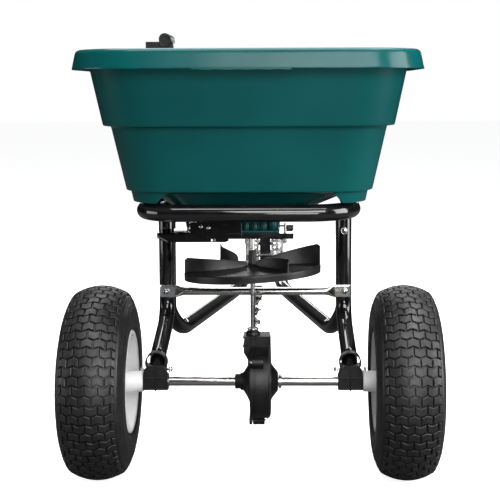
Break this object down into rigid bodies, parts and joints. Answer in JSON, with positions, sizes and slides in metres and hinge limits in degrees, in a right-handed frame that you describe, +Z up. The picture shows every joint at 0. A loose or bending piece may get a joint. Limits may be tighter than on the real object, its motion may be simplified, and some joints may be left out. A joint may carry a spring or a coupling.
{
  "type": "tow-behind broadcast spreader",
  "caption": "Two-wheeled tow-behind broadcast spreader: tapered plastic hopper on a bent-tube frame, with a finned spinner disc driven from the axle through a gearbox.",
  "frame": {"origin": "on the ground, under the middle of the machine's outline in plan", "axes": "+Z up; +Y the direction of travel, from the hopper towards the hitch; +X the machine's right side"},
  "size_m": [0.6308, 1.178, 0.7717],
  "materials": {
    "green_plastic": "moulded green plastic, satin gloss",
    "black_paint": "gloss black powder coat",
    "black_plastic": "fine-grained black moulding",
    "zinc_steel": "bright zinc plate",
    "white_rim": "semi-gloss white paint",
    "tyre_rubber": "matte black rubber"
  },
  "bodies": {
    "frame": {"hopper": "green_plastic", "support_loop": "black_paint", "left_leg": "black_paint", "right_leg": "black_paint", "left_hitch_tube": "black_paint", "right_hitch_tube": "black_paint", "gate_guide": "black_paint", "lever_bracket": "black_paint", "hitch_post": "black_paint", "left_axle_bushing": "black_plastic", "right_axle_bushing": "black_plastic", "gearbox_left_shell": "black_plastic", "gearbox_right_shell": "black_plastic", "shaft_bushing": "black_plastic", "rate_stop_knob": "black_plastic", "crossbar": "zinc_steel", "left_upper_frame_bolt": "zinc_steel", "right_upper_frame_bolt": "zinc_steel", "left_lower_frame_bolt": "zinc_steel", "right_lower_frame_bolt": "zinc_steel", "left_bushing_screw": "zinc_steel", "right_bushing_screw": "zinc_steel", "gearbox_screw_1": "zinc_steel", "gearbox_screw_2": "zinc_steel", "gearbox_screw_3": "zinc_steel", "gearbox_stay": "zinc_steel", "stay_screw": "zinc_steel", "gearbox_clamp": "zinc_steel", "left_guide_screw": "zinc_steel", "right_guide_screw": "zinc_steel", "bracket_bolt": "zinc_steel", "lever_pivot_bolt": "zinc_steel", "rate_stop": "zinc_steel", "hitch_bracket": "zinc_steel", "left_hitch_bolt": "zinc_steel", "right_hitch_bolt": "zinc_steel", "hitch_post_bolt": "zinc_steel"},
    "axle_drive": {"axle": "zinc_steel", "crown_gear": "black_plastic", "axle_collar": "zinc_steel", "collar_pin": "zinc_steel", "right_rim": "white_rim", "right_tyre": "tyre_rubber", "right_valve_stem": "black_plastic", "left_wheel_washer": "zinc_steel", "right_wheel_washer": "zinc_steel", "left_cotter_pin": "zinc_steel", "right_cotter_pin": "zinc_steel"},
    "free_wheel": {"left_rim": "white_rim", "left_tyre": "tyre_rubber", "left_valve_stem": "black_plastic"},
    "spinner": {"spinner_shaft": "zinc_steel", "spinner_disc": "black_plastic", "spinner_pin": "zinc_steel", "pinion": "zinc_steel", "agitator": "zinc_steel"},
    "gate": {"gate_plate": "black_paint"},
    "rate_lever": {"control_lever": "black_paint", "lever_grip": "black_plastic"},
    "drawbar_pin": {"hitch_pin": "zinc_steel"}
  },
  "joints": [
    {"name": "axle_turn", "type": "hinge", "parent": "frame", "child": "axle_drive", "pos_m": [0, -0.376, 0.165], "axis": [1, 0, 0], "continuous": true},
    {"name": "free_wheel_turn", "type": "hinge", "parent": "frame", "child": "free_wheel", "pos_m": [-0.261, -0.376, 0.165], "axis": [1, 0, 0], "continuous": true},
    {"name": "spinner_turn", "type": "hinge", "parent": "frame", "child": "spinner", "pos_m": [0, -0.376, 0.357], "axis": [0, 0, 1], "continuous": true},
    {"name": "lever_swing", "type": "hinge", "parent": "frame", "child": "rate_lever", "pos_m": [-0.121, -0.142, 0.49], "axis": [0, -1, 0], "range_deg": [0, 28.2]},
    {"name": "gate_slide", "type": "slide", "parent": "frame", "child": "gate", "axis": [1, 0, 0], "range_m": [0, 0.032]},
    {"name": "pin_lift", "type": "slide", "parent": "frame", "child": "drawbar_pin", "axis": [0, 0, 1], "range_m": [0, 0.06]}
  ],
  "couplings": [
    {"joint": "spinner_turn", "follows": "axle_turn", "ratio": -5},
    {"joint": "gate_slide", "follows": "lever_swing", "m_per_rad": 0.0645}
  ]
}
